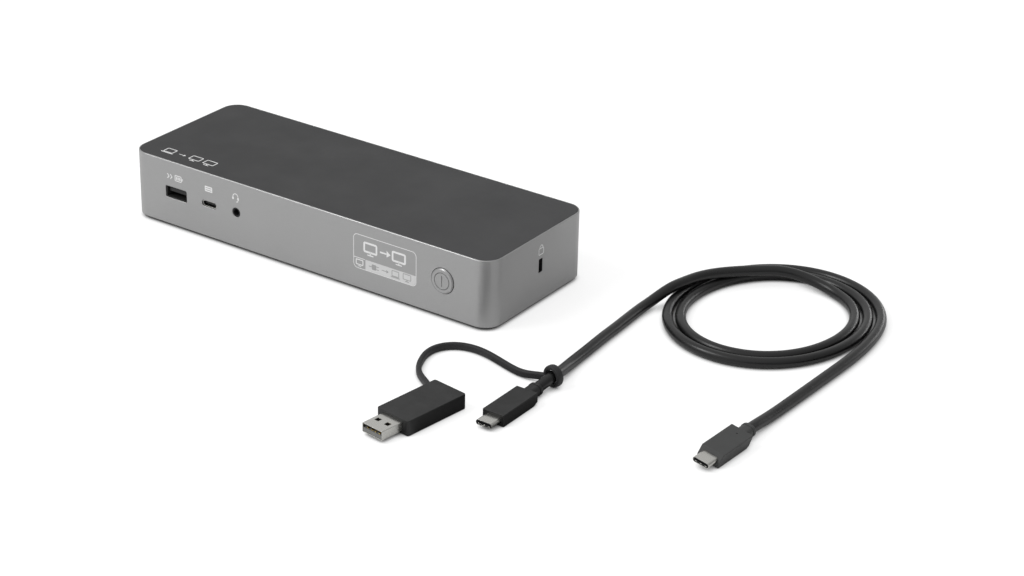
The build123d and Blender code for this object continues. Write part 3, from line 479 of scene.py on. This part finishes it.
def build_cable():
    """Coil and two leads, cut where each lead still lies with the coil."""
    path = cable_path()
    section = circle(0, 0, CABLE_R, 28)
    cut_a = int(np.argmax(path[:, 1] > CUT_A_Y))
    cut_b = len(path) - int(np.argmax(path[::-1, 1] > CUT_B_Y)) - 1
    lead_a = sweep("lead_a_jacket", path[:cut_a + 1], section)
    coil = sweep("coil_jacket", path[cut_a:cut_b + 1], section)
    lead_b = sweep("lead_b_jacket", path[cut_b:], section)
    for piece, node in ((coil, "cable_coil"), (lead_a, "cable_lead_a"), (lead_b, "cable_lead_b")):
        paint(piece, "cable_jacket")
        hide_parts(node)
    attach(coil, "cable")
    blend_lead(lead_a)
    blend_lead(lead_b)


def soft_power(value):
    """Sine or cosine, pushed out so that a circle becomes a soft square."""
    return math.copysign(abs(value) ** 0.7, value)


def ring_profile(steps=28):
    """Loop of (radius, along) points: the section of the soft square ring round the cable."""
    middle_r, half_wall, half_width = 4.13, 1.07, 1.8
    angles = [2 * math.pi * k / steps for k in range(steps)]
    return [(middle_r + half_wall * soft_power(math.cos(a)), half_width * soft_power(math.sin(a)))
            for a in angles]


def tether_ring():
    """The ring, with the cable's way through it along its own Y."""
    place = Matrix.Translation(RING) @ Matrix.Rotation(math.radians(RING_TURN), 4, "Z")
    profile = ring_profile()
    around, count = 56, len(profile)
    vertices, faces = [], []
    for step in range(around):
        angle = 2 * math.pi * step / around
        for radius, along in profile:
            spot = Vector((radius * math.cos(angle), along, radius * math.sin(angle)))
            vertices.append(tuple(place @ spot))
    for step in range(around):
        for k in range(count):
            after, next_step = (k + 1) % count, (step + 1) % around
            faces.append((step * count + k, step * count + after,
                          next_step * count + after, next_step * count + k))
    return mesh_object("ring", vertices, faces)


def build_tether():
    """Rubber band from the adapter's side, looping to a thick rounded ring round the cable."""
    flat = [(124.2, -102.8), (116.3, -97.2), (110.1, -93.1), (105.9, -88.8), (102.0, -81.7),
            (99.9, -74.8), (100.4, -67.5), (105.5, -60.8), (115.4, -57.9), (126.5, -59.6)]
    rising = [(137.6, -62.8, 1.8), (146.5, -64.2, 2.1), (157.0, -62.6, 3.2)]
    points = [(x, y, STRAP_Z) for x, y in flat] + rising
    path = smooth_curve(points, (-0.82, 0.57, 0), (1, 0.12, 0.06), step=1.2)
    section = rounded(-STRAP_W / 2, -STRAP_H / 2, STRAP_W / 2, STRAP_H / 2, 1.0)
    tether = joined("tether", [sweep("band", path, section), tether_ring()])
    paint(tether, "rubber")
    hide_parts("tether_strap")
    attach(tether, "adapter")


# ------------------------------------------------------------------ printed marks
# A mark is a list of flat polygons, in mm, in the plane of the face it is printed on.
def offset_line(line, distance, closed):
    """The line moved sideways, with mitred corners."""
    moved_line = []
    count = len(line)
    for i, point in enumerate(line):
        before = line[i - 1] if i or closed else None
        after = line[(i + 1) % count] if i < count - 1 or closed else None
        normals = []
        for a, b in ((before, point), (point, after)):
            if a is not None and b is not None:
                dx, dy = b[0] - a[0], b[1] - a[1]
                length = math.hypot(dx, dy)
                normals.append((dy / length, -dx / length))
        nx = sum(n[0] for n in normals) / len(normals)
        ny = sum(n[1] for n in normals) / len(normals)
        scale = distance / (nx * nx + ny * ny)
        moved_line.append((point[0] + nx * scale, point[1] + ny * scale))
    return moved_line


def stroke(line, width, closed=False):
    """Polygons that make a line of this width."""
    left = offset_line(line, width / 2, closed)
    right = offset_line(line, -width / 2, closed)
    count = len(line)
    last = count if closed else count - 1
    return [[left[i], left[(i + 1) % count], right[(i + 1) % count], right[i]] for i in range(last)]


def box_line(x0, y0, x1, y1, radius, width):
    """Line round a rectangle with rounded corners."""
    return stroke(rounded(x0, y0, x1, y1, radius), width, closed=True)


def bar(x0, y0, x1, y1):
    """Filled rectangle."""
    return [[(x0, y0), (x1, y0), (x1, y1), (x0, y1)]]


def moved(mark, x, y, scale=1.0):
    """The mark scaled about its own origin, then moved."""
    return [[(x + px * scale, y + py * scale) for px, py in polygon] for polygon in mark]


def monitor(line=0.32):
    """Screen on a stand, 6 wide and 5 high."""
    screen = box_line(-2.8, 1.4, 2.8, 4.9, 0.4, line)
    return screen + bar(-0.3, 0.5, 0.3, 1.2) + bar(-1.4, 0, 1.4, 0.45)


def laptop(line=0.32):
    """Open laptop, 7 wide and 4.5 high."""
    screen = box_line(-2.5, 1.0, 2.5, 4.4, 0.4, line)
    return screen + [[(-3.5, 0.6), (3.5, 0.6), (3.0, 0), (-3.0, 0)]]


def plug():
    """Plug with two pins on the right and a lead on the left, 5 long."""
    body = [rounded(-1.4, -1.2, 0.9, 1.2, 0.5)]
    pins = bar(1.0, 0.45, 2.2, 0.8) + bar(1.0, -0.8, 2.2, -0.45)
    return body + pins + bar(-2.8, -0.2, -1.5, 0.2)


def arrow():
    """Arrow to the right, 4 long."""
    return bar(-2.0, -0.2, 0.6, 0.2) + [[(0.7, -0.9), (2.0, 0), (0.7, 0.9)]]


def chevrons():
    """Two angle marks to the right."""
    angles = [[(x - 0.6, 1.3), (x + 0.6, 0), (x - 0.6, -1.3)] for x in (-1.0, 1.0)]
    return [part for angle in angles for part in stroke(angle, 0.55)]


def battery():
    """Battery outline, 5 wide, with three cells."""
    cells = [cell for x in (-1.4, -0.35, 0.7) for cell in bar(x - 0.36, -0.75, x + 0.36, 0.75)]
    return box_line(-2.3, -1.35, 1.6, 1.35, 0.4, 0.45) + bar(1.9, -0.6, 2.4, 0.6) + cells


def headset():
    """Head band, ear pads and microphone arm, 4.6 high."""
    band = stroke(arc(0, 2.6, 1.6, 0, 180), 0.42)
    pads = [rounded(x - 0.5, 1.0, x + 0.5, 2.5, 0.35, 3) for x in (-1.6, 1.6)]
    return band + pads + stroke([(1.6, 0.85), (1.3, 0.2), (0.3, 0.0)], 0.4)


def padlock():
    """Closed padlock, 4.4 wide and 5.2 high."""
    body = box_line(-1.95, 0.2, 1.95, 3.4, 0.6, 0.48)
    return body + stroke(arc(0, 3.7, 1.25, 0, 180), 0.45)


def network():
    """One box above two, joined by lines."""
    boxes = []
    for x, y in ((0, 3.2), (-1.8, 0), (1.8, 0)):
        boxes += box_line(x - 0.9, y, x + 0.9, y + 1.4, 0.15, 0.26)
    down = bar(-1.93, 1.55, -1.67, 2.09) + bar(1.67, 1.55, 1.93, 2.09)
    return boxes + bar(-0.13, 2.35, 0.13, 3.05) + bar(-1.93, 2.1, 1.93, 2.34) + down


# Origin, rightward and upward direction of each printed face
FACES = {
    "front": ((0, FRONT_Y, 0), (1, 0, 0), (0, 0, 1)),
    "right": ((RIGHT_X, 0, 0), (0, 1, 0), (0, 0, 1)),
    "top": ((0, 0, TOP_Z), (1, 0, 0), (0, 1, 0)),
    "rear": ((0, PANEL_Y, 0), (-1, 0, 0), (0, 0, 1)),
    "button": ((0, BUTTON_FACE_Y + BUTTON_MARK_DEPTH, 0), (1, 0, 0), (0, 0, 1)),
}


def printed(name, face, mark, ink, body="dock", level=0.0):
    """Thin raised print on a face of the dock; level lifts it over other print."""
    origin, right, up = (Vector(v) for v in FACES[face])
    out = right.cross(up)
    shape = bmesh.new()
    for polygon in mark:
        spots = [origin + right * x + up * y + out * (level - INK_SUNK) for x, y in polygon]
        shape.faces.new([shape.verts.new(spot * MM) for spot in spots])
    bmesh.ops.remove_doubles(shape, verts=shape.verts, dist=0.002 * MM)
    raised = bmesh.ops.extrude_face_region(shape, geom=shape.faces[:])
    lifted = [item for item in raised["geom"] if isinstance(item, bmesh.types.BMVert)]
    bmesh.ops.translate(shape, verts=lifted, vec=out * (INK + INK_SUNK) * MM)
    bmesh.ops.recalc_face_normals(shape, faces=shape.faces)
    mesh = bpy.data.meshes.new(name)
    shape.to_mesh(mesh)
    shape.free()
    obj = bpy.data.objects.new(name, mesh)
    bpy.context.scene.collection.objects.link(obj)
    paint(obj, ink)
    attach(obj, body)


def print_front_marks():
    """Marks over the front ports, and the framed label with its light band."""
    usb_a = moved(chevrons(), -84.9, 27.6, 0.95) + moved(battery(), -79.0, 27.6, 1.05)
    usb_c = [rounded(-62.0, 25.9, -57.2, 28.8, 0.3)]
    headphones = moved(headset(), -42.3, 25.4)
    printed("front_port_marks", "front", usb_a + usb_c + headphones, "light_ink")
    lines = bar(-61.4, 26.6, -57.8, 26.95) + bar(-61.4, 27.75, -57.8, 28.1)
    printed("front_usb_c_lines", "front", lines, "soft_ink", level=INK)

    frame_line = box_line(30.6, 11.9, 67.5, 29.5, 2.3, 0.36)
    cell = bar(30.85, 17.1, 37.3, 17.5) + moved(monitor(0.75), 34.1, 12.8, 0.72)
    screens = moved(monitor(0.8), 40.6, 19.9, 1.3) + moved(monitor(0.8), 57.4, 19.9, 1.3)
    link = bar(46.3, 23.4, 50.1, 24.3) + [[(50.2, 22.1), (52.6, 23.85), (50.2, 25.6)]]
    printed("label_lines", "front", frame_line + cell + screens + link, "light_ink")
    corner = arc(65.0, 14.4, 2.3, -90, 0, 6)
    band = [[(37.6, 12.12), *corner, (67.3, 17.4), (37.6, 17.4)]]
    printed("label_band", "front", band, "band_ink")
    steps = moved(plug(), 43.0, 14.75, 1.15) + moved(arrow(), 49.4, 14.75)
    steps += moved(laptop(0.45), 55.4, 12.9, 0.8) + moved(monitor(0.45), 62.2, 12.8, 0.8)
    printed("label_band_marks", "front", steps, "soft_ink", level=INK)


def print_end_and_top_marks():
    """Padlock over the lock slot, and a row of marks on the lid."""
    printed("lock_mark", "right", moved(padlock(), 1.3, 25.5), "light_ink")
    row = moved(laptop(0.5), -93.0, -32.6, 1.15) + moved(arrow(), -84.6, -30.0, 1.1)
    row += moved(monitor(0.5), -76.4, -32.8, 1.15) + moved(monitor(0.5), -67.2, -32.8, 1.15)
    printed("top_mark", "top", row, "light_ink")


def print_rear_marks():
    """Marks over the rear ports."""
    marks = []
    for x in (-50.5, -29.5, -8.5, 12.5):
        marks += moved(monitor(), x, 17.2, 0.85)
    marks += moved(plug(), -86.0, 24.0, 0.9) + moved(laptop(), -70.0, 17.2, 0.8)
    for x in (59.0, 78.0):
        marks += moved(chevrons(), x, 27.0, 0.75)
    printed("rear_marks", "rear", marks + moved(network(), 23.5, 12.2, 0.9), "light_ink")


def print_button_mark():
    """Dark fill at the floor of the power button's engraved ring and line: painted shade in the grooves."""
    ring_r, ring_width, half_width, half_length = 4.175, 0.34, 0.165, 2.8
    x, z = BUTTON
    ring = stroke(circle(x, z, ring_r, 56), ring_width, closed=True)
    line = bar(x - half_width, z - half_length, x + half_width, z + half_length)
    printed("button_mark", "button", ring + line, "painted_groove_shade", body="power_button")


# ------------------------------------------------------------------ small fittings
def build_lock_lining():
    """Thin black lining of the lock slot, through the wall."""
    gap, wall, sunk, depth = 0.02, 0.1, 0.25, 1.7
    half_w, half_h = (size / 2 - gap for size in LOCK_SIZE)
    outer = rounded(-half_w, -half_h, half_w, half_h, 0.5)
    inner = rounded(wall - half_w, wall - half_h, half_w - wall, half_h - wall, 0.42)
    near, far = RIGHT_X - sunk, RIGHT_X - sunk - depth
    loops = ((near, outer), (near, inner), (far, inner), (far, outer))
    vertices = [(x, LOCK[1] + y, LOCK[2] + z) for x, loop in loops for y, z in loop]
    count = len(outer)
    faces = []
    for level in range(len(loops)):
        base, above = level * count, (level + 1) % len(loops) * count
        for k in range(count):
            after = (k + 1) % count
            faces.append((base + k, base + after, above + after, above + k))
    lining = mesh_object("lock_lining", vertices, faces, smooth=False)
    paint(lining, "black_plastic")
    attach(lining, "dock")


def tapered_bar(place, side, near, far):
    """Bar along its own Y from near to far, wider at its foot; its middle is side off centre."""
    foot, crest = (0.62, -0.72), (0.5, -0.42)
    loop = [(-foot[0], foot[1]), foot, crest, (-crest[0], crest[1])]
    points = [place @ Vector((side + a, y, b)) for y in (near, far) for a, b in loop]
    faces = [(0, 1, 2, 3), (7, 6, 5, 4)]
    faces += [(k, (k + 1) % 4, 4 + (k + 1) % 4, 4 + k) for k in range(4)]
    return mesh_object("spring", points, faces, smooth=False)


def build_contacts():
    """Three bright sprung contacts just inside the mouth of each USB-C tip."""
    pitch, near, far = 2.55, 0.12, 2.5
    tips = (("lead_a", Matrix.Translation(PLUG_A), PLUG_A_TIP), ("lead_b", plug_b_frame(), PLUG_B_TIP))
    for body, place, tip in tips:
        springs = [tapered_bar(place, side, near - tip, far - tip) for side in (-pitch, 0, pitch)]
        contacts = joined(body + "_contacts", springs)
        soften(contacts, 0.08)
        paint(contacts, "steel")
        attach(contacts, body)


def soften(obj, width):
    """Round the sharp edges of a mesh, width in mm."""
    bevel = obj.modifiers.new("soften", "BEVEL")
    bevel.width = width * MM
    bevel.segments = 2
    bevel.limit_method = "ANGLE"


# ------------------------------------------------------------------ studio
def build_floor():
    """White paper that the camera sees brighter than it lights the object: for camera rays it glows. It darkens
    only close to the object, partly in real shadow on its dim diffuse part and mostly through a painted contact
    shadow, worked out from ambient occlusion, that dims the glow."""
    half, drop, shadow_reach = 4000.0, 0.12, 4.5
    corners = [(-half, -half, 0), (half, -half, 0), (half, half, 0), (-half, half, 0)]
    floor = mesh_object("floor", corners, [(0, 1, 2, 3)])
    floor.location.z = -drop * MM
    g = Graph("floor_paper")
    place = g.node("TexCoord").outputs["Object"]
    soft = g.noise(place, 60, 2.0)
    white = g.mix(soft, (0.90, 0.90, 0.90, 1), (0.92, 0.92, 0.92, 1))
    paper = g.node("BsdfDiffuse", Color=white).outputs[0]
    pale = g.node("BsdfDiffuse", Color=(0.42, 0.42, 0.42, 1)).outputs[0]
    # Painted contact shadow: ambient occlusion close to the object dims the floor's glow for the camera.
    contact = g.node("AmbientOcclusion", {"samples": 12}, Distance=shadow_reach * MM)
    near = g.remap(contact.outputs["AO"], 0.12, 0.72, 0.0, 0.72)
    lift = g.node("Emission", Color=(1, 1, 1, 1), Strength=near).outputs[0]
    seen = g.node("LightPath").outputs["Is Camera Ray"]
    glow_with_painted_shadow = g.node("AddShader")
    g.join(pale, glow_with_painted_shadow.inputs[0])
    g.join(lift, glow_with_painted_shadow.inputs[1])
    shown = g.node("MixShader", Fac=seen)
    g.join(paper, shown.inputs[1])
    g.join(glow_with_painted_shadow.outputs[0], shown.inputs[2])
    floor.data.materials.append(g.finish(shown.outputs[0]))


def build_flag():
    """Dark card just over the floor, seen only as a reflection in the rounded front corner."""
    x, y, height = RIGHT_X - CORNER_R, FRONT_Y + CORNER_R, 0.05
    near_r, far_r, first, last, steps = 38, 110, -74, -29, 5
    outline = arc(x, y, near_r, first, last, steps) + arc(x, y, far_r, last, first, steps)
    points = [(px, py, height) for px, py in outline]
    flag = mesh_object("flag", points, [tuple(range(len(points)))], smooth=False)
    g = Graph("flag_card")
    card = g.node("BsdfDiffuse", Color=(0.2, 0.2, 0.2, 1))
    flag.data.materials.append(g.finish(card.outputs[0]))
    flag.visible_camera = False
    flag.visible_diffuse = False
    flag.visible_shadow = False


def build_world():
    """White studio, dimmer to the right, with a dark gap near the camera for the metal."""
    world = bpy.data.worlds.new("studio")
    bpy.context.scene.world = world
    world.use_nodes = True
    tree = world.node_tree
    tree.nodes.clear()
    output = tree.nodes.new("ShaderNodeOutputWorld")
    background = tree.nodes.new("ShaderNodeBackground")
    tree.links.new(background.outputs[0], output.inputs[0])
    coordinate = tree.nodes.new("ShaderNodeTexCoord")

    def toward(direction, low, high, to_low, to_high):
        """Brightness that changes with how closely a ray points along a direction."""
        dot = tree.nodes.new("ShaderNodeVectorMath")
        dot.operation = "DOT_PRODUCT"
        tree.links.new(coordinate.outputs["Generated"], dot.inputs[0])
        dot.inputs[1].default_value = Vector(direction).normalized()
        ramp = tree.nodes.new("ShaderNodeMapRange")
        ramp.interpolation_type = "SMOOTHSTEP"
        tree.links.new(dot.outputs["Value"], ramp.inputs["Value"])
        limits = {"From Min": low, "From Max": high, "To Min": to_low, "To Max": to_high}
        for key, value in limits.items():
            ramp.inputs[key].default_value = value
        return ramp.outputs[0]

    def times(a, b):
        """Product of two sockets."""
        product = tree.nodes.new("ShaderNodeMath")
        product.operation = "MULTIPLY"
        tree.links.new(a, product.inputs[0])
        tree.links.new(b, product.inputs[1])
        return product.outputs[0]

    side = toward((1.0, 0.55, -0.1), -0.2, 0.9, 1.0, 0.52)
    gap = toward((0.55, -0.83, 0.0), 0.88, 0.98, 1.0, 0.25)
    sky = toward((0, 0, 1), 0.2, 1.0, 0.92, 1.1)
    tree.links.new(times(times(side, gap), sky), background.inputs["Strength"])


def area_light(name, shape, size, power, place, target):
    """Area light at a place, aimed at a target, all in metres."""
    light = bpy.data.lights.new(name, "AREA")
    light.shape = shape
    light.size, light.size_y = size
    light.energy = power
    lamp = bpy.data.objects.new(name, light)
    lamp.location = place
    lamp.rotation_euler = (Vector(target) - Vector(place)).to_track_quat("-Z", "Y").to_euler()
    bpy.context.scene.collection.objects.link(lamp)
    return lamp


def add_lights():
    """Key light from the left, and a strip behind the coil that only lights the cable, for a
    thin line on its far flank."""
    area_light("key", "DISK", (0.9, 0.9), 14, place=(-0.9, -1.1, 1.5), target=(0.05, 0, 0))
    strip = area_light("strip", "RECTANGLE", (0.9, 0.15), 1.6, place=(0.45, 1.1, 0.25),
                       target=(0.2, 0, 0))
    lit = bpy.data.collections.new("lit_by_strip")
    for name in ("coil_jacket", "lead_a_jacket", "lead_b_jacket"):
        lit.objects.link(bpy.data.objects[name])
    strip.light_linking.receiver_collection = lit


def build_camera():
    """Camera turned and raised about a target on the desk, and rolled a little."""
    azimuth, elevation, roll = (math.radians(v) for v in (34.31, 26.18, 1.33))
    target = Vector((91.32, 5.07, 1.0)) * MM
    distance = 1.2034
    back = Vector((math.sin(azimuth) * math.cos(elevation), -math.cos(azimuth) * math.cos(elevation),
                   math.sin(elevation)))
    right = Vector((math.cos(azimuth), math.sin(azimuth), 0))
    up = back.cross(right)
    tilted_right = right * math.cos(roll) + up * math.sin(roll)
    tilted_up = up * math.cos(roll) - right * math.sin(roll)
    data = bpy.data.cameras.new("camera")
    data.lens = 88.57
    data.sensor_width = 36
    data.clip_start = 0.01
    data.clip_end = 50
    camera = bpy.data.objects.new("camera", data)
    place = target + back * distance
    columns = (tilted_right.to_4d(), tilted_up.to_4d(), back.to_4d(), place.to_4d())
    for column in columns[:3]:
        column.w = 0
    camera.matrix_world = Matrix(columns).transposed()
    bpy.context.scene.collection.objects.link(camera)
    bpy.context.scene.camera = camera


# ------------------------------------------------------------------ build
paint_cad_nodes()
build_cable()
build_tether()
print_front_marks()
print_end_and_top_marks()
print_rear_marks()
print_button_mark()
build_lock_lining()
build_contacts()
build_floor()
build_flag()
build_world()
add_lights()
build_camera()
bpy.context.scene.view_settings.view_transform = "Standard"
